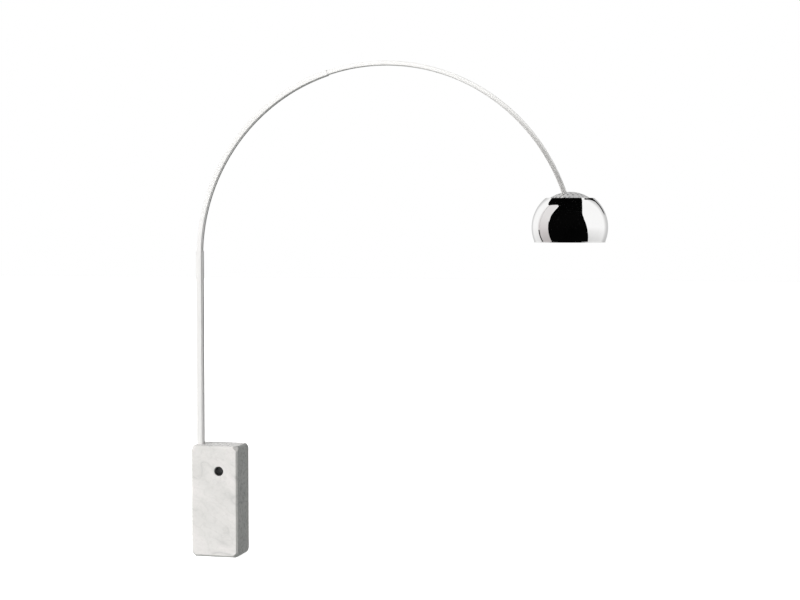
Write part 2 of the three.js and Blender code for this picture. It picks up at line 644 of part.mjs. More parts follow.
function reflectorBowl() {
  const inside = BOWL_RADIUS - BOWL_WALL;
  const rimAngle = THREE.MathUtils.radToDeg(Math.acos(BOWL_RIM_Z / BOWL_RADIUS));
  const rimRadius = BOWL_RADIUS * Math.sin(radians(rimAngle));
  const lipOuter = BOWL_RADIUS * Math.sin(radians(BOWL_TOP));
  const bowl = [
    ...meridian(BOWL_RADIUS, BOWL_TOP, rimAngle - 2, 7),
    new THREE.Vector2(rimRadius + 0.6, BOWL_RIM_Z + 3),
    new THREE.Vector2(rimRadius + 0.6, BOWL_RIM_Z),
    new THREE.Vector2(rimRadius - 2.4, BOWL_RIM_Z),
    ...meridian(inside, rimAngle - 2, BOWL_TOP + 0.8, 7),
    new THREE.Vector2(lipOuter - 4, lipZ - 0.9),
    new THREE.Vector2(LIP_INNER, lipZ),
    new THREE.Vector2(LIP_INNER, lipZ + BOWL_WALL),
    new THREE.Vector2(lipOuter - 4, lipZ + BOWL_WALL - 0.5)
  ];
  return turned([...bowl, bowl[0]].reverse(), ROUND);
}

piece(head, 'reflector_bowl', reflectorBowl(), ...POLISHED);

export default lamp;
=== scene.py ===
"""Arc floor lamp: the looks around the fixed CAD frame.

A marble block carries a square steel stem, two curved channel sections telescope out of it, and
a domed mirror reflector hangs on a perforated cap at the end of the arc. Metres throughout, +Z
up, +X along the reach of the arc, +Y to the back.
"""

import bmesh
import bpy
import json
import math
from mathutils import Matrix, Vector


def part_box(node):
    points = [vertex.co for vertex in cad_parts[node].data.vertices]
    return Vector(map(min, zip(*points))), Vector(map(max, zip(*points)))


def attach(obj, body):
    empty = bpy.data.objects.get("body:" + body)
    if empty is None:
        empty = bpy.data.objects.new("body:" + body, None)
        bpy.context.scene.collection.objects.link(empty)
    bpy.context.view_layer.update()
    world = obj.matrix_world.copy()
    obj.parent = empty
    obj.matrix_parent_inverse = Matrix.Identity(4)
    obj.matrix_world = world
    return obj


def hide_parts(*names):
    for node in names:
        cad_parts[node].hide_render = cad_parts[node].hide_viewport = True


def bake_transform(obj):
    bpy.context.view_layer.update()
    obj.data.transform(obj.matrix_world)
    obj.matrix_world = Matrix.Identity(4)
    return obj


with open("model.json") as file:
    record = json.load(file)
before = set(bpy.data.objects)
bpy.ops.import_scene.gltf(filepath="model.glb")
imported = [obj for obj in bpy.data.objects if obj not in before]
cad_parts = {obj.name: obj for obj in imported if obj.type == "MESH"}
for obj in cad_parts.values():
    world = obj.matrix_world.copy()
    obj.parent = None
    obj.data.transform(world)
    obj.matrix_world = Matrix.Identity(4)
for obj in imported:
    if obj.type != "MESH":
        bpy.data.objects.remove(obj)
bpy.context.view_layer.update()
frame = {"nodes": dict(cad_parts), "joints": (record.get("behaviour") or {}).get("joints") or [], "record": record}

# ---------------------------------------------------------------- places, from the frame

X = Vector((1, 0, 0))
Y = Vector((0, 1, 0))
Z = Vector((0, 0, 1))


def joint_place(name):
    return Vector(next(j for j in frame["joints"] if j["name"] == name)["pos_m"])


def node_middle(name):
    low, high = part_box(name)
    return (low + high) / 2


BLOCK_LOW, BLOCK_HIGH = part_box("marble_block")
STEM_LOW, STEM_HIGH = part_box("stem_post")
STEM = node_middle("stem_post")
ARC_CENTRE = joint_place("arc_extend")
HEAD = joint_place("reflector_roll")
ARC_RADIUS = ARC_CENTRE.x - STEM.x
INLET_Z = node_middle("cable_inlet").z
BLOCK_BACK = BLOCK_HIGH.y

# ---------------------------------------------------------------- driving dimensions

# Each channel: outer size, outer corner radius and wall.
STEM_CHANNEL = (0.034, 0.008, 0.002)
MIDDLE_CHANNEL = (0.028, 0.0065, 0.002)
END_CHANNEL = (0.022, 0.005, 0.0018)
SLOT = 0.008
MIDDLE_END_ANGLE = 107  # degrees round the arc, 180 at the stem and 90 at the top
END_START_ANGLE = 125
HEAD_ANGLE = 19.5
TAIL = 0.2  # the straight end of the middle section, inside the stem

EDGE_CHAMFER = 0.008
CORNER_CUT = 0.03
ARRIS = 0.0007  # the rounding of the stone's edges
HOLE_RADIUS = 0.022
HOLE_FLARE = 0.003
HOLE_CENTRE = Vector((0.024, 0, 0.426))

BOLT_HOLE_RADIUS = 0.009
BOLT_HOLE_LOW = 0.06
COUNTERBORE_RADIUS = 0.017
COUNTERBORE_DEPTH = 0.075
INLET_BORE = 0.008
INLET_PLUG = 0.0077
INLET_SEAT_RADIUS = 0.0135
INLET_SEAT_DEPTH = 0.003
INLET_FLANGE = 0.013

LEAD_RADIUS = 0.0032
LEAD_START = 0.026  # in from the block's back face
INLET_BEND = 0.028
LEAD_SPLIT_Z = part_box("stem_lead")[1].z
END_LEAD_START = 150

CAP_RADIUS = 0.166
CAP_WALL = 0.0015
CAP_REACH = 58  # degrees from its top to its edge
CAP_OFFSET = 0.0275  # from the head's axis to where the arc meets the cap
HOLE_PITCH = 0.0235
CAP_HOLE = 0.0055
HOLE_RINGS = 4
BOWL_RADIUS = 0.178
BOWL_WALL = 0.0015
BOWL_TOP = 40.5  # degrees from the top of its sphere
BOWL_RIM_Z = -0.07
LIP_INNER = 0.099  # radius
LIP_Z = 0.1364
BEAD = 0.0018  # radius of the rolled edge round the mouth of the bowl
SLIP_EDGES = (35, 42)  # degrees from the top
SEAT_EDGE = 41
STALK_RADIUS = 0.006
STALK_BORE = 0.0042
STALK_BEND = 0.04
STALK_TAIL = 0.026  # from the cap up into the arc
STALK_LOW = 0.06  # over the head's centre, as are the heights in the head
STALK_CLEARANCE = 0.0003
NUT_WIDTH = 0.017
NUT_BORE = 0.0063
THREAD_PITCH = 0.0036

# ---------------------------------------------------------------- meshes


def linked(name, data):
    """A new object in the scene."""
    made = bpy.data.objects.new(name, data)
    bpy.context.scene.collection.objects.link(made)
    return made


def piece(name, bm, body, slot, nodes, sharp=32):
    """Makes an object of a bmesh, smooth but for edges sharper than `sharp` degrees.

    With no body, the caller says how it moves.
    """
    bmesh.ops.remove_doubles(bm, verts=bm.verts, dist=1e-7)
    bmesh.ops.recalc_face_normals(bm, faces=bm.faces)
    for face in bm.faces:
        face.smooth = True
    for edge in bm.edges:
        edge.smooth = edge.calc_face_angle(math.pi) < math.radians(sharp)
    mesh = bpy.data.meshes.new(name)
    bm.to_mesh(mesh)
    bm.free()
    mesh.materials.append(LOOKS[slot])
    made = linked(name, mesh)
    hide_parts(*nodes)
    if body:
        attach(made, body)
    return made


def filleted(corners):
    """A closed outline from (x, y, radius, steps) corners, each rounded by its own radius."""
    points = []
    for i, (x, y, radius, steps) in enumerate(corners):
        here = Vector((x, y))
        before = (Vector(corners[i - 1][:2]) - here).normalized()
        after = (Vector(corners[(i + 1) % len(corners)][:2]) - here).normalized()
        if not radius:
            points.append(here)
            continue
        half = before.angle(after) / 2
        middle = here + (before + after).normalized() * (radius / math.sin(half))
        first = here + before * (radius / math.tan(half)) - middle
        last = here + after * (radius / math.tan(half)) - middle
        turn = first.angle_signed(last)
        for step in range(steps + 1):
            angle = -turn * step / steps
            points.append(middle + Matrix.Rotation(angle, 2) @ first)
    return points


def rectangle(half_x, half_y, corner, steps):
    signs = ((1, 1), (-1, 1), (-1, -1), (1, -1))
    return filleted([(a * half_x, b * half_y, corner, steps) for a, b in signs])


def mirrored(corners):
    return [(-x, y, radius, steps) for x, y, radius, steps in reversed(corners)]


def channel_outline(size, corner, wall, steps=7):
    """A square channel whose slot is in the middle of its +y side."""
    half, slot = size / 2, SLOT / 2
    inner_half, inner_corner = half - wall, corner - wall
    edge = 0.0004
    outside = [(slot, half, edge, 2), (half, half, corner, steps), (half, -half, corner, steps)]
    inside = [(inner_half, -half + wall, inner_corner, steps),
              (inner_half, inner_half, inner_corner, steps), (slot, inner_half, edge, 2)]
    return filleted(outside + mirrored(outside) + mirrored(inside) + inside)


def circle(radius, sides):
    turns = [2 * math.pi * i / sides for i in range(sides)]
    return [Vector((radius * math.cos(a), radius * math.sin(a))) for a in turns]


def hexagon(width):
    """A hexagon, `width` across its flats, with slightly rounded corners."""
    radius = width / 2 / math.cos(math.pi / 6)
    return filleted([(p.x, p.y, 0.0004, 2) for p in circle(radius, 6)])


def sweep(stations, outline, bore=None):
    """Carries an outline through stations of (place, side, up); UV is metres round and along."""
    bm = bmesh.new()
    uv = bm.loops.layers.uv.new("run")
    along = [0.0]
    for one, two in zip(stations, stations[1:]):
        along.append(along[-1] + (two[0] - one[0]).length)
    loops = [outline] + ([bore] if bore else [])
    rings = []
    for loop in loops:
        ring = [[bm.verts.new(o + a * p.x + b * p.y) for p in loop] for o, a, b in stations]
        around = [0.0]
        for i, p in enumerate(loop):
            around.append(around[-1] + (loop[(i + 1) % len(loop)] - p).length)
        for k in range(len(stations) - 1):
            for i in range(len(loop)):
                j = (i + 1) % len(loop)
                face = bm.faces.new((ring[k][i], ring[k][j], ring[k + 1][j], ring[k + 1][i]))
                corners = ((i, k), (i + 1, k), (i + 1, k + 1), (i, k + 1))
                for corner, (u, v) in zip(face.loops, corners):
                    corner[uv].uv = (around[u], along[v])
        rings.append(ring)
    for end in (0, -1):
        if bore:
            for i in range(len(outline)):
                j = (i + 1) % len(outline)
                inner, outer = rings[1][end], rings[0][end]
                bm.faces.new((outer[i], outer[j], inner[j], inner[i]))
        else:
            bm.faces.new(rings[0][end])
    return bm


def straight(start, end, side=Y, up=X, steps=1):
    return [(start.lerp(end, i / steps), side, up) for i in range(steps + 1)]


def round_the_arc(start, end, step=1.0, radius=ARC_RADIUS, centre=ARC_CENTRE):
    """Stations round a centre in the plane of the arc; their `up` points to the centre."""
    count = max(1, math.ceil(abs(start - end) / step))
    stations = []
    for i in range(count + 1):
        angle = math.radians(start + (end - start) * i / count)
        out = Vector((math.cos(angle), 0, math.sin(angle)))
        stations.append((centre + out * radius, Y, -out))
    return stations


def route(*parts):
    """Joins runs of stations, without the ones that repeat the place before them."""
    whole = []
    for part in parts:
        whole += [s for s in part if not whole or (s[0] - whole[-1][0]).length > 1e-5]
    return whole


def along_axis(place, low, high):
    """Two stations on the Z axis of a placed part."""
    turn = place.to_3x3()
    return [(place @ Vector((0, 0, z)), turn @ X, turn @ Y) for z in (low, high)]


def soften_ends(bm, width, stations):
    """Bevels the rims of both ends of a swept piece."""
    widest = 0.03  # keeps out what else crosses the plane of an end
    rims = []
    for end, inwards in ((stations[0], stations[1]), (stations[-1], stations[-2])):
        normal = (end[0] - inwards[0]).normalized()
        on_end = {v for v in bm.verts if abs((v.co - end[0]).dot(normal)) < 1e-6
                  and (v.co - end[0]).length < widest}
        for edge in bm.edges:
            if edge.verts[0] in on_end and edge.verts[1] in on_end:
                rims.append(edge)
    bmesh.ops.bevel(bm, geom=rims, offset=width, segments=2, affect="EDGES")
    return bm


def rippled(radius, angle, ripple):
    """The radius, less a groove where it is past the ripple's least radius."""
    grooves, depth, least = ripple
    if radius <= least:
        return radius
    return radius - depth * (0.5 - 0.5 * math.cos(grooves * angle)) ** 2


def lathe(profile, place, sides, closed=True, ripple=None):
    """Turns a profile of (radius, height) round Z; `ripple` is (count, depth, least radius)."""
    bm = bmesh.new()
    uv = bm.loops.layers.uv.new("run")
    rows = []
    for radius, height in profile:
        if radius < 1e-7:
            rows.append([bm.verts.new(place @ Vector((0, 0, height)))] * sides)
            continue
        row = []
        for i in range(sides):
            angle = 2 * math.pi * i / sides
            r = rippled(radius, angle, ripple) if ripple else radius
            point = Vector((r * math.cos(angle), r * math.sin(angle), height))
            row.append(bm.verts.new(place @ point))
        rows.append(row)
    count = len(rows) if closed else len(rows) - 1
    run = 0.0
    for k in range(count):
        low, high = rows[k], rows[(k + 1) % len(rows)]
        next_profile = profile[(k + 1) % len(profile)]
        length = math.dist(profile[k], next_profile)
        for i in range(sides):
            j = (i + 1) % sides
            corners = [(low[i], i, run), (low[j], i + 1, run)]
            corners += [(high[j], i + 1, run + length), (high[i], i, run + length)]
            kept = [c for n, c in enumerate(corners) if c[0] is not corners[n - 1][0]]
            if len(kept) < 3:
                continue
            face = bm.faces.new([c[0] for c in kept])
            for corner, (_, turn, v) in zip(face.loops, kept):
                corner[uv].uv = (turn / sides, v)
        run += length
    return bm


def meridian(radius, start, end, steps):
    """Profile points on a sphere round the origin; angles in degrees from its top."""
    angles = [math.radians(start + (end - start) * i / steps) for i in range(steps + 1)]
    return [(radius * math.sin(a), radius * math.cos(a)) for a in angles]


def bend(radius, centre, start, end, steps):
    """Profile points on a small arc; angles in degrees from the profile's outward axis."""
    angles = [math.radians(start + (end - start) * i / steps) for i in range(steps + 1)]
    return [(centre[0] + radius * math.cos(a), centre[1] + radius * math.sin(a)) for a in angles]


def soft(profile, radius, steps=3):
    """Rounds the corners of a closed profile."""
    return [(p.x, p.y) for p in filleted([(r, z, radius, steps) for r, z in profile])]


def at(x, y, z):
    return Matrix.Translation((x, y, z))


def on_stem(z):
    return Vector((STEM.x, STEM.y, z))


def backwards(x, z):
    """The place of a part turned about an axis that points to the back."""
    return at(x, STEM.y, z) @ TOWARDS_BACK


TOWARDS_BACK = Matrix.Rotation(math.radians(-90), 4, "X")
IN_HEAD = Matrix.Translation(HEAD)


def temporary(bm):
    """An object of a bmesh that only helps to make a piece; its maker removes it."""
    bmesh.ops.recalc_face_normals(bm, faces=bm.faces)
    mesh = bpy.data.meshes.new("tool")
    bm.to_mesh(mesh)
    bm.free()
    return linked("tool", mesh)


def joined(parts):
    """One bmesh of several, which are freed."""
    whole = bmesh.new()
    for part in parts:
        mesh = bpy.data.meshes.new("part")
        part.to_mesh(mesh)
        part.free()
        whole.from_mesh(mesh)
        bpy.data.meshes.remove(mesh)
    return whole


def carved(bm, *tools):
    """The bmesh with the tools cut out of it."""
    body = temporary(bm)
    cutters = [temporary(tool) for tool in tools]
    for cutter in cutters:
        modifier = body.modifiers.new("cut", "BOOLEAN")
        modifier.operation = "DIFFERENCE"
        modifier.solver = "EXACT"
        modifier.object = cutter
    evaluated = body.evaluated_get(bpy.context.evaluated_depsgraph_get())
    shape = bpy.data.meshes.new_from_object(evaluated)
    result = bmesh.new()
    result.from_mesh(shape)
    for used in (body, *cutters):
        mesh = used.data
        bpy.data.objects.remove(used)
        bpy.data.meshes.remove(mesh)
    bpy.data.meshes.remove(shape)
    return result


def flat_sides(made):
    """Keeps large flat faces flat in shading beside the narrow rounded edges."""
    modifier = made.modifiers.new("weighted", "WEIGHTED_NORMAL")
    modifier.keep_sharp = True
    modifier.weight = 100


# ---------------------------------------------------------------- materials


class Nodes:
    """A node tree: short calls that add nodes and join them."""

    def __init__(self, tree):
        self.tree = tree
        tree.nodes.clear()

    def node(self, kind, **settings):
        made = self.tree.nodes.new("ShaderNode" + kind)
        for key, value in settings.items():
            setattr(made, key, value)
        return made

    def link(self, source, target):
        self.tree.links.new(source, target)
        return target

    def feed(self, socket, value):
        """Links an output to a socket, or sets the socket to a number or a colour."""
        if hasattr(value, "is_linked"):
            self.link(value, socket)
        elif hasattr(value, "__len__"):
            socket.default_value = (*value, 1)
        else:
            socket.default_value = value

    def place(self, scale, uv=False, turn=(0, 0, 0)):
        """Coordinates in metres, turned and then scaled, in the object's space or on its UV map."""
        if uv:
            source = self.node("UVMap", uv_map="run").outputs["UV"]
        else:
            source = self.node("TexCoord").outputs["Object"]
        for setting, value in (("Rotation", turn), ("Scale", scale)):
            mapping = self.node("Mapping")
            mapping.inputs[setting].default_value = value
            self.link(source, mapping.inputs["Vector"])
            source = mapping.outputs["Vector"]
        return source

    def noise(self, vector, scale=1.0, detail=3.0, roughness=0.5, distortion=0.0, output="Fac"):
        made = self.node("TexNoise")
        made.inputs["Scale"].default_value = scale
        made.inputs["Detail"].default_value = detail
        made.inputs["Roughness"].default_value = roughness
        made.inputs["Distortion"].default_value = distortion
        self.link(vector, made.inputs["Vector"])
        return made.outputs[output]

    def wander(self, vector, scale, reach):
        """The vector moved about by a coloured noise, by up to half of `reach`."""
        offset = self.node("VectorMath", operation="SCALE")
        offset.inputs["Scale"].default_value = reach
        self.link(self.noise(vector, scale, output="Color"), offset.inputs[0])
        moved = self.node("VectorMath", operation="ADD")
        self.link(vector, moved.inputs[0])
        self.link(offset.outputs["Vector"], moved.inputs[1])
        return moved.outputs["Vector"]

    def ramp(self, value, *stops):
        """Maps a value through stops of (position, grey or colour)."""
        made = self.node("ValToRGB")
        elements = made.color_ramp.elements
        while len(elements) < len(stops):
            elements.new(0.5)
        for element, (position, colour) in zip(elements, stops):
            if not hasattr(colour, "__len__"):
                colour = (colour, colour, colour)
            element.position = position
            element.color = (*colour, 1)
        self.link(value, made.inputs["Fac"])
        return made.outputs["Color"]

    def math(self, operation, one, two=0.0):
        made = self.node("Math", operation=operation)
        for socket, value in zip(made.inputs, (one, two)):
            self.feed(socket, value)
        return made.outputs["Value"]

    def mix(self, amount, one, two, blend="MIX"):
        made = self.node("Mix", data_type="RGBA", blend_type=blend)
        for number, value in ((0, amount), (6, one), (7, two)):  # the sockets for colours
            self.feed(made.inputs[number], value)
        return made.outputs[2]


class Look(Nodes):
    """A material with one Principled shader, whose even settings are given by name."""

    def __init__(self, name, **sockets):
        self.material = bpy.data.materials.new(name)
        self.material.use_nodes = True
        super().__init__(self.material.node_tree)
        self.shader = self.node("BsdfPrincipled")
        self.link(self.shader.outputs["BSDF"], self.node("OutputMaterial").inputs["Surface"])
        for socket, value in sockets.items():
            self.shader.inputs[socket.replace("_", " ")].default_value = value

    def colour(self, source):
        self.link(source, self.shader.inputs["Base Color"])

    def rough(self, source):
        self.link(source, self.shader.inputs["Roughness"])

    def bump(self, height, distance, strength):
        made = self.node("Bump")
        made.inputs["Distance"].default_value = distance
        made.inputs["Strength"].default_value = strength
        self.link(height, made.inputs["Height"])
        self.link(made.outputs["Normal"], self.shader.inputs["Normal"])


def painted_hole_shade(look, colour):
    """Paints shade on the wall of the lifting hole, darker with depth in from the front face."""
    reach = 0.02  # the depth at which `deep` is 1
    split = look.node("SeparateXYZ")
    look.link(look.node("TexCoord").outputs["Object"], split.inputs["Vector"])
    x, y, z = split.outputs
    across = look.math("POWER", look.math("SUBTRACT", x, HOLE_CENTRE.x), 2.0)
    up = look.math("POWER", look.math("SUBTRACT", z, HOLE_CENTRE.z), 2.0)
    out = look.math("SQRT", look.math("ADD", across, up))
    inside = look.math("LESS_THAN", out, HOLE_RADIUS + 0.0006)
    deep = look.math("MULTIPLY", look.math("SUBTRACT", y, BLOCK_LOW.y), 1 / reach)
    # painted shade: the bore's wall is multiplied darker with depth, down to near black
    shade = look.ramp(look.math("MULTIPLY", inside, deep), (0.0, 1.0), (0.15, 0.35), (0.8, 0.07))
    return look.mix(1.0, colour, shade, "MULTIPLY")


def marble():
    """Pale grey stone: soft clouds, long slanting veins, short fine ones and a crystal grain, with painted shade
    inside the lifting hole.
    """
    look = Look("marble", IOR=1.5, Specular_IOR_Level=0.3)
    plain = look.place((1, 1, 1))
    slanted = look.wander(look.place((0.42, 1, 1), turn=(0.25, -0.62, 0.3)), 5, 0.13)

    def veins(scale, width, detail=2.0):
        field = look.noise(slanted, scale, detail, 0.5)
        distance = look.math("ABSOLUTE", look.math("SUBTRACT", field, 0.5))
        return look.ramp(distance, (0.0, 1.0), (width, 0.35), (width * 3.5, 0.0))

    clouds = look.noise(slanted, 8, 5, 0.6)
    base = look.ramp(clouds, (0.3, (0.62, 0.615, 0.605)), (0.5, (0.70, 0.69, 0.68)),
                     (0.7, (0.765, 0.745, 0.74)))
    fading = look.ramp(look.noise(plain, 8, 4, 0.55), (0.42, 0.0), (0.6, 0.5))
    long_veins = look.math("MULTIPLY", veins(5.0, 0.012), fading)
    short_veins = look.math("MULTIPLY", veins(14.0, 0.012, 4.0), 0.2)
    veined = look.mix(long_veins, base, (0.38, 0.385, 0.38))
    veined = look.mix(short_veins, veined, (0.44, 0.445, 0.435))
    grain = look.noise(plain, 900, 2, 0.6)
    stone = look.mix(1.0, veined, look.ramp(grain, (0.3, 0.955), (0.7, 1.0)), "MULTIPLY")
    # the stone's colour carries painted shade inside the lifting hole
    look.colour(painted_hole_shade(look, stone))
    look.rough(look.ramp(look.noise(plain, 60, 3), (0.3, 0.24), (0.7, 0.33)))
    look.bump(look.noise(plain, 220, 2), 0.00004, 0.4)
    return look.material


def satin_steel():
    """Lacquered steel brushed along its length, with a faint unevenness from handling."""
    look = Look("satin_steel", Metallic=0.62, Anisotropic=0.6)
    along = look.node("Tangent", direction_type="UV_MAP", uv_map="run")
    look.link(along.outputs["Tangent"], look.shader.inputs["Tangent"])
    streaks = look.noise(look.place((1600, 7, 1), uv=True), 1, 4, 0.65)
    patches = look.noise(look.place((18, 3.5, 1), uv=True), 1, 3)
    tone = look.ramp(streaks, (0.3, (0.87, 0.865, 0.855)), (0.7, (0.94, 0.935, 0.925)))
    look.colour(look.mix(look.ramp(patches, (0.35, 0.0), (0.75, 0.12)), tone, (0.8, 0.79, 0.78)))
    look.rough(look.math("ADD", look.math("MULTIPLY", streaks, 0.1),
                         look.ramp(patches, (0.3, 0.3), (0.8, 0.36))))
    look.bump(streaks, 0.000012, 0.5)
    return look.material


def mirror_metal():
    """Polished metal: crisp reflections, with faint polishing rings and wiped smears."""
    look = Look("mirror_metal", Metallic=1.0)
    smears = look.noise(look.place((14, 14, 22)), 1, 5, 0.6, 0.6)
    rings = look.noise(look.place((3, 2600, 1), uv=True), 1, 2, 0.5)
    look.colour(look.ramp(smears, (0.3, (0.915, 0.91, 0.905)), (0.7, (0.95, 0.948, 0.945))))
    look.rough(look.math("ADD", look.ramp(smears, (0.45, 0.018), (0.8, 0.05)),
                         look.math("MULTIPLY", rings, 0.015)))
    look.bump(rings, 0.000002, 0.25)
    return look.material


def plated(name, dark, light, low, high):
    """A plated or turned metal part, with fine mottling in its colour and gloss."""
    look = Look(name, Metallic=1.0)
    mottle = look.noise(look.place((260, 260, 260)), 1, 4, 0.6)
    fine = look.noise(look.place((1800, 1800, 1800)), 1, 2)
    look.colour(look.ramp(mottle, (0.3, dark), (0.7, light)))
    look.rough(look.ramp(mottle, (0.3, high), (0.75, low)))
    look.bump(fine, 0.00001, 0.4)
    return look.material


def moulded(name, dark, light, low, high, grain, height, **sockets):
    """A moulded part with a fine grain, in polymer or rubber."""
    look = Look(name, **sockets)
    coords = look.place((1, 1, 1))
    fine = look.noise(coords, grain, 3, 0.6)
    broad = look.noise(coords, 60, 3)
    look.colour(look.ramp(broad, (0.3, dark), (0.7, light)))
    look.rough(look.ramp(broad, (0.3, low), (0.7, high)))
    look.bump(fine, height, 0.6)
    return look.material


def opal_glass():
    """The bulb's white inner coating under clear, shiny glass."""
    look = Look("bulb_glass", IOR=1.5, Coat_Weight=0.6, Coat_Roughness=0.03)
    cloud = look.noise(look.place((90, 90, 90)), 1, 4)
    look.colour(look.ramp(cloud, (0.3, (0.84, 0.82, 0.79)), (0.7, (0.9, 0.89, 0.87))))
    look.rough(look.ramp(cloud, (0.3, 0.22), (0.7, 0.3)))
    look.shader.inputs["Subsurface Weight"].default_value = 0.2
    look.shader.inputs["Subsurface Radius"].default_value = (0.004, 0.0035, 0.003)
    return look.material


def felt():
    """Pressed wool felt: short crossing fibres and a soft sheen."""
    look = Look("felt", Sheen_Weight=0.5, Sheen_Roughness=0.5)
    one = look.noise(look.place((300, 2400, 2400), turn=(0, 0, 0.5)), 1, 3, 0.7, 1.2)
    two = look.noise(look.place((2400, 300, 2400), turn=(0, 0, -0.3)), 1, 3, 0.7, 1.2)
    fibres = look.math("MAXIMUM", one, two)
    look.colour(look.ramp(fibres, (0.4, (0.025, 0.025, 0.027)), (0.75, (0.085, 0.085, 0.09))))
    look.rough(look.ramp(fibres, (0.3, 0.98), (0.8, 0.85)))
    look.bump(fibres, 0.0003, 0.8)
    return look.material


LOOKS = {
    "marble": marble(),
    "felt": felt(),
    "satin_steel": satin_steel(),
    "mirror_metal": mirror_metal(),
    "zinc": plated("zinc", (0.46, 0.47, 0.49), (0.62, 0.625, 0.64), 0.28, 0.42),
    "nickel": plated("nickel", (0.52, 0.5, 0.47), (0.66, 0.64, 0.6), 0.2, 0.32),
    "brass": plated("brass", (0.58, 0.42, 0.16), (0.74, 0.56, 0.25), 0.24, 0.38),
    "black_polymer": moulded("black_polymer", (0.012, 0.012, 0.013), (0.024, 0.024, 0.026),
                             0.36, 0.5, 1500, 0.00005),
    "slip_polymer": moulded("slip_polymer", (0.6, 0.59, 0.56), (0.68, 0.67, 0.64),
                            0.4, 0.5, 1300, 0.00003),
    "sheath": moulded("sheath", (0.018, 0.018, 0.019), (0.035, 0.035, 0.036),
                      0.42, 0.58, 1100, 0.00006),
    "silicone": moulded("silicone", (0.03, 0.03, 0.032), (0.05, 0.05, 0.052),
                        0.55, 0.68, 900, 0.00004, Sheen_Weight=0.2),
    "porcelain": moulded("porcelain", (0.78, 0.765, 0.73), (0.85, 0.84, 0.81),
                         0.12, 0.2, 500, 0.00003, Coat_Weight=0.5),
    "bulb_glass": opal_glass(),
}

# The CAD nodes that stay visible take the same looks.
for part in frame["record"]["subparts"]:
    cad = frame["nodes"][part["node"]]
    shared = LOOKS[part["material_slot"]]
    if not cad.data.materials:
        cad.data.materials.append(shared)
    for cad_slot in cad.material_slots:
        cad_slot.material = shared

# ---------------------------------------------------------------- base


def block_solid():
    """The chamfered block: its 48 corners, hulled, with its edges slightly rounded."""
    half = (BLOCK_HIGH - BLOCK_LOW) / 2
    middle = (BLOCK_HIGH + BLOCK_LOW) / 2
    c, cut = EDGE_CHAMFER, CORNER_CUT - EDGE_CHAMFER
    bm = bmesh.new()
    for axis in range(3):
        one, two = (axis + 1) % 3, (axis + 2) % 3
        for inset_one, inset_two in ((c, cut), (cut, c)):
            for signs in range(8):
                corner = Vector()
                corner[axis] = half[axis] * (1 if signs & 1 else -1)
                corner[one] = (half[one] - inset_one) * (1 if signs & 2 else -1)
                corner[two] = (half[two] - inset_two) * (1 if signs & 4 else -1)
                bm.verts.new(middle + corner)
    hull = bmesh.ops.convex_hull(bm, input=bm.verts)
    bmesh.ops.delete(bm, geom=hull["geom_unused"], context="VERTS")
    bmesh.ops.dissolve_limit(bm, angle_limit=0.01, verts=bm.verts, edges=bm.edges)
    bmesh.ops.bevel(bm, geom=bm.edges[:], offset=ARRIS, segments=3, affect="EDGES", profile=0.5)
    return bm


def marble_body():
    """The block, with the lifting hole and the holes for the stem, its bolt and the inlet."""
    half = (BLOCK_HIGH.y - BLOCK_LOW.y) / 2
    past = 0.01  # how far the tools reach out of the stone
    lip = 0.0012  # the rounding between the hole's wall and its flare
    mouth = HOLE_RADIUS + HOLE_FLARE
    run = [(0, -half - past), (mouth + past, -half - past), (mouth, -half)]
    run += bend(lip, (HOLE_RADIUS + lip, -half + HOLE_FLARE + lip), 225, 180, 4)
    run += [(x, -z) for x, z in reversed(run)]
    middle_y = (BLOCK_LOW.y + BLOCK_HIGH.y) / 2
    across = at(HOLE_CENTRE.x, middle_y, HOLE_CENTRE.z) @ TOWARDS_BACK
    hole = lathe(run, across, 80, False)

    size, corner, _ = STEM_CHANNEL
    gap = 0.0003
    pocket_half = size / 2 + gap
    outline = rectangle(pocket_half, pocket_half, corner + gap, 8)
    pocket = sweep(straight(on_stem(STEM_LOW.z), on_stem(BLOCK_HIGH.z + past)), outline)

    upright = at(STEM.x, STEM.y, 0)
    radius, low, high = BOLT_HOLE_RADIUS, BOLT_HOLE_LOW, STEM_LOW.z + 0.001
    bolt_hole = lathe([(0, low), (radius, low), (radius, high), (0, high)], upright, 40, False)
    radius, high = COUNTERBORE_RADIUS, COUNTERBORE_DEPTH
    counterbore = lathe([(0, 0), (radius, 0), (radius, high), (0, high)], upright, 48, False)

    face = BLOCK_BACK - STEM.y
    seat = face - INLET_SEAT_DEPTH
    run = [(0, 0), (INLET_BORE, 0), (INLET_BORE, seat), (INLET_SEAT_RADIUS, seat),
           (INLET_SEAT_RADIUS, face + past), (0, face + past)]
    inlet_hole = lathe(run, backwards(STEM.x, INLET_Z), 48, False)

    bm = carved(block_solid(), hole, pocket, bolt_hole, counterbore, inlet_hole)
    made = piece("marble_body", bm, "base", "marble", ["marble_block"], sharp=38)
    flat_sides(made)


def felt_sheet():
    low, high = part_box("felt_pad")
    middle, half = (low + high) / 2, (high - low) / 2
    ends = [Vector((middle.x, middle.y, z)) for z in (low.z, high.z)]
    bm = sweep(straight(*ends, X, Y), rectangle(half.x, half.y, 0.004, 5))
    made = piece("felt_sheet", bm, "base", "felt", ["felt_pad"], sharp=60)


def cable_inlet():
    """The bushing in the block's back, where a mains lead would enter."""
    face = BLOCK_BACK - STEM.y
    bore = LEAD_RADIUS + 0.0007
    inner_end, seat, brim = face - 0.03, face - 0.0027, face - 0.0004
    profile = [(bore, inner_end), (INLET_PLUG, inner_end), (INLET_PLUG, seat),
               (INLET_FLANGE, seat), (INLET_FLANGE, brim), (0.0115, face),
               (bore + 0.0016, face), (bore, face - 0.002)]
    bm = lathe(soft(profile, 0.0004), backwards(STEM.x, INLET_Z), 64)
    piece("inlet_grommet", bm, "base", "black_polymer", ["cable_inlet"])


# ---------------------------------------------------------------- stem and arc


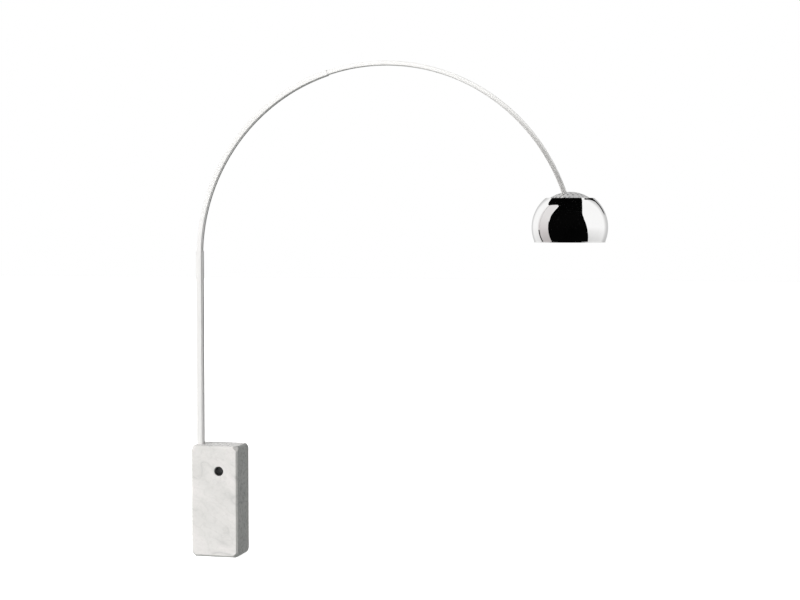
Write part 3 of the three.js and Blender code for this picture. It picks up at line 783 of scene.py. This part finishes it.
def stem_channel():
    stations = straight(on_stem(STEM_LOW.z), on_stem(STEM_HIGH.z))
    bm = soften_ends(sweep(stations, channel_outline(*STEM_CHANNEL)), 0.0003, stations)
    piece("stem_channel", bm, "base", "satin_steel", ["stem_post"])


def middle_channel():
    tail = straight(on_stem(ARC_CENTRE.z - TAIL), on_stem(ARC_CENTRE.z))
    stations = route(tail, round_the_arc(180, MIDDLE_END_ANGLE))
    bm = soften_ends(sweep(stations, channel_outline(*MIDDLE_CHANNEL)), 0.0003, stations)
    piece("middle_channel", bm, "arc_middle", "satin_steel", ["arc_middle_section"])


def end_channel():
    """The last section; its lower end is cut to the sphere of the cap."""
    stations = round_the_arc(END_START_ANGLE, HEAD_ANGLE - 1)
    skin = meridian(CAP_RADIUS + 0.0003, 178, 2, 90)
    ball = lathe([(0, -CAP_RADIUS)] + skin + [(0, CAP_RADIUS)], IN_HEAD, 128, False)
    bm = carved(sweep(stations, channel_outline(*END_CHANNEL, 5)), ball)
    piece("end_channel", bm, "arc_end", "satin_steel", ["arc_end_section"])


def clamp_boss(name, body, node, bore, radius, size, height, place):
    """A round boss on the back of a channel of that size."""
    low, high = size / 2 + 0.0003, size / 2 + height
    profile = soft([(bore, low), (radius, low), (radius, high), (bore, high)], 0.0005)
    piece(name, lathe(profile, place, 48), body, "satin_steel", [node])


def clamp_screw(name, body, node, shank, head, size, height, place):
    """A cap screw with a hexagonal socket and a knurled head, as tall as its radius."""
    tip = size / 2 - 0.0026
    seat = size / 2 + height + 0.0003
    top = seat + head
    edge = 0.0008
    profile = [(0, tip), (shank, tip), (shank, seat), (head - 0.0004, seat), (head, seat + 0.0004)]
    profile += bend(edge, (head - edge, top - edge), 0, 90, 4) + [(0, top)]
    socket = sweep(along_axis(place, seat + head * 0.5, seat + head * 1.5), hexagon(head * 0.95))
    screw = lathe(profile, place, 96, False, ripple=(32, 0.0003, head - 0.0003))
    piece(name, carved(screw, socket), body, "zinc", [node])


def clamps():
    """The screws that lock the two telescoping joints, each in its boss."""
    stem = (STEM_CHANNEL[0], 0.007, backwards(STEM.x, node_middle("stem_lock_screw").z))
    clamp_boss("stem_clamp_boss", "base", "stem_lock_boss", 0.0043, 0.008, *stem)
    clamp_screw("stem_clamp_screw", "base", "stem_lock_screw", 0.004, 0.0065, *stem)
    screw = node_middle("arc_lock_screw")
    arc = (MIDDLE_CHANNEL[0], 0.006, backwards(screw.x, screw.z))
    clamp_boss("arc_clamp_boss", "arc_middle", "arc_lock_boss", 0.0033, 0.0065, *arc)
    clamp_screw("arc_clamp_screw", "arc_middle", "arc_lock_screw", 0.003, 0.005, *arc)


# ---------------------------------------------------------------- leads


def lead(name, stations, node):
    return piece(name, sweep(stations, circle(LEAD_RADIUS, 16)), None, "sheath", [node])


def leads():
    """The lead inside the stem and the arc; two of its runs stretch over a telescoping joint."""
    inside = Vector((STEM.x, BLOCK_BACK - LEAD_START, INLET_Z))
    bend_start = Vector((STEM.x, STEM.y + INLET_BEND, INLET_Z))
    centre = bend_start + Z * INLET_BEND
    quarter = []
    steps = 12
    for i in range(steps + 1):
        angle = math.radians(270 - 90 * i / steps)
        out = Y * math.cos(angle) + Z * math.sin(angle)
        quarter.append((centre + out * INLET_BEND, X, -out))
    split = on_stem(LEAD_SPLIT_Z)
    rise = straight(quarter[-1][0], split, X, Y, 40)
    lower_run = route(straight(inside, bend_start, X, Z), quarter, rise)
    lower = lead("stem_lead_run", lower_run, "stem_lead")
    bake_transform(lower)
    tail = straight(split + Z * 0.0003, on_stem(ARC_CENTRE.z), Y, X, 6)
    middle_run = route(tail, round_the_arc(180, END_LEAD_START))
    middle = lead("middle_lead_run", middle_run, "middle_lead")
    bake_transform(middle)
    down = stalk_stations(HEAD + arc_entry(), 0.053)
    end_run = route(round_the_arc(END_LEAD_START, HEAD_ANGLE), down)
    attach(lead("end_lead_run", end_run, "end_lead"), "arc_end")


# ---------------------------------------------------------------- head


def arc_entry():
    """Where the arc's axis meets the cap, seen from the head's centre."""
    return Vector((-CAP_OFFSET, 0, math.sqrt(CAP_RADIUS ** 2 - CAP_OFFSET ** 2)))


def arc_tangent():
    angle = math.radians(HEAD_ANGLE)
    return Vector((math.sin(angle), 0, -math.cos(angle)))


def stalk_stations(start, end_z):
    """Along the arc's tangent, then bent upright on the head's axis, down to end_z."""
    turn = math.radians(HEAD_ANGLE)
    meet = Vector((0, 0, arc_entry().z - CAP_OFFSET / math.tan(turn)))
    reach = STALK_BEND * math.tan(turn / 2)
    centre = HEAD + Vector((-STALK_BEND, 0, meet.z - reach))
    bent = round_the_arc(HEAD_ANGLE, 0, 2, STALK_BEND, centre)
    side_way = bent[0][2]
    first = [(start, Y, side_way), (bent[0][0], Y, side_way)]
    return route(first, bent, [(HEAD + Vector((0, 0, end_z)), Y, -X)])


def lamp_stalk():
    start = HEAD + arc_entry() - arc_tangent() * STALK_TAIL
    stations = stalk_stations(start, STALK_LOW)
    bm = sweep(stations, circle(STALK_RADIUS, 32), circle(STALK_BORE, 32))
    piece("stalk_tube", bm, "arc_end", "zinc", ["lamp_stalk"])


def hex_nut(name, node, place, low, high):
    """A nut whose corners are turned down to a cone on both faces."""
    corner = NUT_WIDTH / math.sqrt(3)
    chamfer, past = 0.0007, 0.001
    profile = [(NUT_BORE, low), (corner - 0.0008, low), (corner + 0.0003, low + chamfer),
               (corner + 0.0003, high - chamfer), (corner - 0.0008, high), (NUT_BORE, high)]
    blank = lathe(soft(profile, 0.0002, 2), place, 96)
    sides = hexagon(NUT_WIDTH)
    ring = [p.normalized() * NUT_WIDTH for p in sides]
    around = sweep(along_axis(place, low - past, high + past), ring, sides)
    piece(name, carved(blank, around), "arc_end", "zinc", [node])


def nuts():
    hex_nut("cover_locknut_hex", "cover_locknut", IN_HEAD, 0.0733, 0.077)
    hex_nut("stalk_nut_hex", "stalk_nut", IN_HEAD, 0.0665, 0.0712)
    angle = math.radians(HEAD_ANGLE)
    along = IN_HEAD @ Matrix.Translation(arc_entry()) @ Matrix.Rotation(math.pi - angle, 4, "Y")
    hex_nut("cap_nut_hex", "cap_nut", along, 0.0123, 0.018)


def turned(name, profile, slot, node, sides=64, closed=True, ripple=None, sharp=32):
    """A turned part in the head; its profile is (radius, height over the head's centre)."""
    bm = lathe(profile, IN_HEAD, sides, closed, ripple)
    piece(name, bm, "arc_end", slot, [node], sharp)


def lampholder():
    bore = STALK_RADIUS + STALK_CLEARANCE
    cover = [(bore, 0.073), (bore, 0.0715), (0.0165, 0.0715), (0.0185, 0.0695), (0.0185, 0.049),
             (0.02, 0.049), (0.02, 0.0705), (0.0175, 0.073)]
    turned("holder_cover_shell", soft(cover, 0.0005), "black_polymer", "holder_cover")
    skirt = [(0.0148, 0.02), (0.019, 0.02), (0.019, 0.0487), (0.0181, 0.0487),
             (0.0181, 0.0518), (0.0148, 0.0518)]
    turned("holder_skirt_shell", soft(skirt, 0.0003), "black_polymer", "holder_skirt")
    ring = soft([(0.0194, 0.022), (0.023, 0.022), (0.023, 0.032), (0.0194, 0.032)], 0.0008)
    ribs = (30, 0.0009, 0.0215)
    turned("holder_ring_ribbed", ring, "black_polymer", "holder_ring", 240, ripple=ribs)
    sleeve = threaded_wall(0.0136, 0.0144, 0.024, 0.0517)
    turned("thread_sleeve_turned", sleeve, "brass", "thread_sleeve")


def thread_wave(height):
    """From 0 on a crest of the thread to 1 between two."""
    return 0.5 - 0.5 * math.cos(2 * math.pi * height / THREAD_PITCH)


def threaded_wall(inner, outer, low, high, steps=48):
    """The profile of a thin wall pressed into rounded thread crests."""
    depth = (outer - inner) * 0.35
    heights = [low + (high - low) * i / steps for i in range(steps + 1)]
    wave = [depth * thread_wave(z - low) for z in heights]
    outside = [(outer - w, z) for z, w in zip(heights, wave)]
    inside = [(inner + depth - w, z) for z, w in zip(heights, wave)]
    return outside + inside[::-1]


def bulb():
    globe = [(0, -0.05)] + bend(0.03, (0, -0.02), -87, 30, 26)
    shoulder = [(0.0238, 0.0008), (0.021, 0.006), (0.0181, 0.0105), (0.0155, 0.0145)]
    neck = [(0.0134, 0.019), (0.0124, 0.0235), (0.0121, 0.028), (0.0121, 0.042),
            (0.008, 0.0437), (0, 0.044)]
    glass = globe + shoulder + neck
    turned("bulb_envelope", glass, "bulb_glass", "bulb_glass", 72, closed=False, sharp=50)
    radius, low, high, steps = 0.0132, 0.025, 0.0445, 44
    shell = [(0, 0.0484), (0.0085, 0.0484), (radius, 0.045)]
    for i in range(steps + 1):
        z = high + (low - high) * i / steps
        shell.append((radius - 0.00035 * thread_wave(z - low), z))
    shell += [(0.0124, low), (0.0124, 0.0446), (0.0082, 0.0476), (0, 0.0476)]
    turned("bulb_screw_cap", shell, "nickel", "bulb_screw_shell", closed=False)


def cap_drill(out):
    """A rod through the cap's shell, along a unit vector from the head's centre."""
    side = out.cross(Y).normalized()
    other = out.cross(side)
    ends = [HEAD + out * (CAP_RADIUS + reach) for reach in (-0.008, 0.008)]
    return sweep([(end, side, other) for end in ends], circle(CAP_HOLE, 28))


def perforated_cap():
    """A shell of the sphere with rings of round holes, but for where the arc meets it."""
    inner = CAP_RADIUS - CAP_WALL
    profile = [(0, inner)] + meridian(inner, 3, CAP_REACH, 22)
    profile += meridian(CAP_RADIUS, CAP_REACH, 3, 22) + [(0, CAP_RADIUS)]
    shell = lathe(profile, IN_HEAD, 128, False)
    tools = []
    entry = arc_entry()
    clear = END_CHANNEL[0] * 0.9
    for ring in range(1, HOLE_RINGS + 1):
        tilt = ring * HOLE_PITCH / CAP_RADIUS
        level = math.sin(tilt)
        for i in range(6 * ring):
            turn = (i + 0.5) * math.pi / (3 * ring)
            out = Vector((level * math.cos(turn), level * math.sin(turn), math.cos(tilt)))
            if math.hypot(out.x * CAP_RADIUS - entry.x, out.y * CAP_RADIUS) > clear:
                tools.append(cap_drill(out))
    tangent = arc_tangent()
    stations = [(HEAD + entry + tangent * d, Y, tangent.cross(Y)) for d in (-0.02, 0.02)]
    tools.append(sweep(stations, circle(STALK_RADIUS + STALK_CLEARANCE, 40)))
    bm = carved(shell, joined(tools))
    round_normals(piece("cap_dome", bm, "arc_end", "mirror_metal", ["perforated_cap"]))


def round_normals(made):
    """Gives each corner on the shell's two skins the normal of its sphere."""
    mesh = made.data
    slack = 0.0004
    normals = []
    for face in mesh.polygons:
        radii = [(mesh.vertices[v].co - HEAD).length for v in face.vertices]
        outside = min(radii) > CAP_RADIUS - slack
        inside = max(radii) < CAP_RADIUS - CAP_WALL + slack
        for index in face.loop_indices:
            out = (mesh.vertices[mesh.loops[index].vertex_index].co - HEAD).normalized()
            if outside:
                normals.append(out)
            elif inside:
                normals.append(-out)
            else:
                normals.append(face.normal.copy())
    mesh.normals_split_custom_set(normals)


def reflector_bowl():
    """The dome: a spun sphere zone with a rolled bead at its mouth and a turned-in lip on top."""
    inside = BOWL_RADIUS - BOWL_WALL
    rim_angle = math.degrees(math.acos((BOWL_RIM_Z + 2 * BEAD) / BOWL_RADIUS))
    rim = meridian(BOWL_RADIUS, rim_angle, rim_angle, 1)[0]
    bead = (rim[0] - 0.0004, BOWL_RIM_Z + BEAD)
    shoulder = BOWL_RADIUS * math.sin(math.radians(BOWL_TOP))
    half = BOWL_WALL / 2
    profile = meridian(BOWL_RADIUS, BOWL_TOP + 1.2, rim_angle, 60)
    profile += bend(BEAD, bead, 60, -180, 16)
    profile += meridian(inside, rim_angle - 0.6, BOWL_TOP + 1.6, 60)
    profile += [(shoulder - 0.0035, LIP_Z - 0.0006), (LIP_INNER + 0.0008, LIP_Z)]
    profile += bend(half, (LIP_INNER + half, LIP_Z + half), 270, 90, 6)
    profile += [(shoulder - 0.004, LIP_Z + BOWL_WALL - 0.0004),
                (shoulder - 0.0008, LIP_Z + 0.0003)]
    bm = lathe(profile, IN_HEAD, 192)
    piece("bowl_dome", bm, "reflector", "mirror_metal", ["reflector_bowl"])


def rings():
    """The slip ring on the cap, and the seat ring under the bowl's lip that slides on it."""
    high, low = SLIP_EDGES
    slip = meridian(CAP_RADIUS + 0.0006, high, low, 6)
    slip += meridian(CAP_RADIUS + 0.0013, low, high, 6)
    piece("slip_band", lathe(slip, IN_HEAD, 128), "tilt_ring", "slip_polymer", ["slip_ring"])
    radius = CAP_RADIUS + 0.0019
    top = LIP_Z - 0.0003
    start = math.degrees(math.acos((top - 0.0008) / radius))
    seat = meridian(radius, start, SEAT_EDGE, 6)
    seat += [(radius * math.sin(math.radians(SEAT_EDGE)), top - 0.0024),
             (radius * math.sin(math.radians(start)), top)]
    piece("seat_band", lathe(seat, IN_HEAD, 128), "reflector", "silicone", ["seat_ring"])


# ---------------------------------------------------------------- studio


CAMERA_TURN = 8.3  # degrees from the front, seen from the head
FLOOR_GLOW = 0.85
FLOOR_REACH = 40
FILL = 0.13  # the light from all round on matt surfaces
FLOOR_BOUNCE = 0.7  # the same from straight below
KEY = 3.8
BACK = 2.2
SUN_SIZE = 50  # degrees


def camera():
    """The camera, fitted to the photo."""
    data = bpy.data.cameras.new("camera")
    data.sensor_width = 36
    data.lens = 76.5
    made = linked("camera", data)
    made.location = (2.9039, -7.9345, 1.6426)
    made.rotation_euler = (math.radians(90 - 2.57), 0, math.radians(14.036))
    bpy.context.scene.camera = made


def stage_mesh(name, points, material, hidden_from):
    """One flat face that belongs to the studio, not to the lamp."""
    mesh = bpy.data.meshes.new(name)
    mesh.from_pydata(points, [], [list(range(len(points)))])
    mesh.materials.append(material)
    made = linked(name, mesh)
    for ray in hidden_from:
        setattr(made, "visible_" + ray, False)


def floor():
    """A pale painted floor. It throws no light: the surroundings stand in for its bounce."""
    look = Look("floor_paint", Roughness=0.7)
    grain = look.noise(look.place((1, 1, 1)), 40, 3)
    look.colour(look.ramp(grain, (0.3, 0.90), (0.7, 0.92)))
    look.shader.inputs["Emission Color"].default_value = (1, 1, 1, 1)
    look.shader.inputs["Emission Strength"].default_value = FLOOR_GLOW
    corners = [(-1, -1), (1, -1), (1, 1), (-1, 1)]
    points = [(FLOOR_REACH * x, FLOOR_REACH * y, 0) for x, y in corners]
    stage_mesh("floor", points, look.material, ("diffuse", "glossy"))


def black_flags():
    """Dark panels that only reflections show, as the unlit side of the studio round the camera.

    Most are placed from the head's centre: to the camera's right, up, and nearer to the camera.
    """
    look = Look("flag_cloth", Roughness=0.9, Specular_IOR_Level=0.0)
    weave = look.noise(look.place((1, 1, 1)), 300, 2)
    look.colour(look.ramp(weave, (0.3, 0.001), (0.7, 0.003)))
    turn = math.radians(CAMERA_TURN)
    right = Vector((math.cos(turn), math.sin(turn), 0))
    nearer = Vector((math.sin(turn), -math.cos(turn), 0))

    def flag(name, points):
        stage_mesh(name, points, look.material, ("camera", "diffuse", "shadow", "transmission"))

    def place(across, up, near):
        return HEAD + right * across + Z * up + nearer * near

    def upright(one, two, height):
        return [one, two, two + Z * height, one + Z * height]

    front = 0.5
    low, rise = 0.27, 0.6  # the roof's height over the head's centre, and its slope
    ridge = low + rise * front
    wall = [(-0.98, -0.78), (1.0, -0.78), (0.61, -0.17), (0.43, 0.22), (0.41, 0.4), (0.46, ridge),
            (-0.92, ridge), (-0.87, -0.2)]
    flag("flag_front", [place(across, up, front) for across, up in wall])
    roof = [(-0.92, front), (0.46, front), (0.28, 0.27), (0.19, 0.15), (0.14, 0.07),
            (0.11, 0.035), (-0.09, 0.03), (-0.15, -0.03), (-0.24, 0), (-0.27, 0.02),
            (-0.28, 0.05), (-0.24, 0.12), (-0.2, 0.17), (-0.21, 0.22), (-0.31, 0.27),
            (-0.56, 0.37)]
    flag("flag_roof", [place(across, low + rise * near, near) for across, near in roof])
    strip_up = 0.35
    strip = [(0.16, 0.02), (0.2, -0.08), (0.22, -0.14), (0.28, -0.37), (0.38, -0.56), (0.58, -0.9),
             (0.86, -1.35), (1.0, -1.25), (0.74, -0.78), (0.5, -0.48), (0.36, -0.33), (0.26, -0.12),
             (0.2, 0)]
    flag("flag_strip", [place(across, strip_up, near) for across, near in strip])
    flag("flag_side", upright(Vector((0.84, -0.65, 0)), Vector((0.1, -1.28, 0)), 1.95))
    flag("flag_post", upright(Vector((0.94, -0.072, 0.8)), Vector((0.94, -0.005, 0.8)), 0.76))


def sun(name, strength, azimuth, elevation, colour=(1, 1, 1)):
    """A soft distant light from an azimuth (0 the front, 90 the +X side) and an elevation.

    Reflections don't show it.
    """
    data = bpy.data.lights.new(name, "SUN")
    data.energy = strength
    data.angle = math.radians(SUN_SIZE)
    data.color = colour
    made = linked(name, data)
    a, e = math.radians(azimuth), math.radians(elevation)
    towards = Vector((math.sin(a) * math.cos(e), -math.cos(a) * math.cos(e), math.sin(e)))
    made.rotation_euler = towards.to_track_quat("Z", "Y").to_euler()
    made.visible_glossy = False


def surroundings():
    """White walls for the camera, a low fill for matt surfaces, and a room for reflections.

    The room is white, with a greyer floor and back, and a warm grey wall on the left. `turn` is
    0.5 at the front, 0.75 at the +X side and 0.25 at the left; `level` is 0.5 at the horizon.
    """
    world = bpy.data.worlds.new("studio")
    bpy.context.scene.world = world
    world.use_nodes = True
    sky = Nodes(world.node_tree)
    towards = sky.node("SeparateXYZ")
    sky.link(sky.node("TexCoord").outputs["Generated"], towards.inputs["Vector"])
    x, y, height = towards.outputs
    azimuth = sky.math("ARCTAN2", x, sky.math("MULTIPLY", y, -1.0))
    turn = sky.math("ADD", sky.math("DIVIDE", azimuth, 2 * math.pi), 0.5)
    level = sky.math("ADD", sky.math("MULTIPLY", height, 0.5), 0.5)
    by_height = sky.ramp(level, (0.08, 0.12), (0.12, 0.68), (0.29, 0.76), (0.41, 0.88), (0.5, 1.0))
    left_tone = sky.ramp(level, (0.5, (0.70, 0.665, 0.665)), (0.7, (0.81, 0.79, 0.79)))
    left = sky.ramp(turn, (0.205, 0.0), (0.225, 1.0), (0.335, 1.0), (0.345, 0.0))
    back = sky.ramp(turn, (0.0, 1.0), (0.08, 0.8), (0.13, 0.0),
                    (0.87, 0.0), (0.92, 0.8), (1.0, 1.0))
    back_tone = sky.ramp(level, (0.5, 0.56), (0.8, 0.5))
    tone = sky.mix(back, sky.mix(left, (1, 1, 1), left_tone), back_tone)
    room = sky.node("Background")
    sky.link(sky.mix(1.0, tone, by_height, "MULTIPLY"), room.inputs["Color"])
    walls = sky.node("Background")
    walls.inputs["Color"].default_value = (1, 1, 1, 1)
    fill = sky.node("Background")
    fill.inputs["Color"].default_value = (0.94, 1.0, 0.95, 1)
    bounce = sky.ramp(level, (0.12, FLOOR_BOUNCE), (0.2, FILL))
    sky.link(bounce, fill.inputs["Strength"])
    rays = sky.node("LightPath")
    shown = room.outputs["Background"]
    for ray, instead in (("Is Diffuse Ray", fill), ("Is Camera Ray", walls)):
        either = sky.node("MixShader")
        sky.link(rays.outputs[ray], either.inputs["Fac"])
        sky.link(shown, either.inputs[1])
        sky.link(instead.outputs["Background"], either.inputs[2])
        shown = either.outputs["Shader"]
    sky.link(shown, sky.node("OutputWorld").inputs["Surface"])


def studio():
    bpy.context.scene.view_settings.view_transform = "Standard"
    surroundings()
    floor()
    black_flags()
    sun("key", KEY, -30, 23, (1.0, 0.985, 0.975))
    sun("back", BACK, -165, 12)


camera()
marble_body()
felt_sheet()
cable_inlet()
stem_channel()
middle_channel()
end_channel()
clamps()
leads()
lamp_stalk()
nuts()
lampholder()
bulb()
perforated_cap()
reflector_bowl()
rings()
studio()
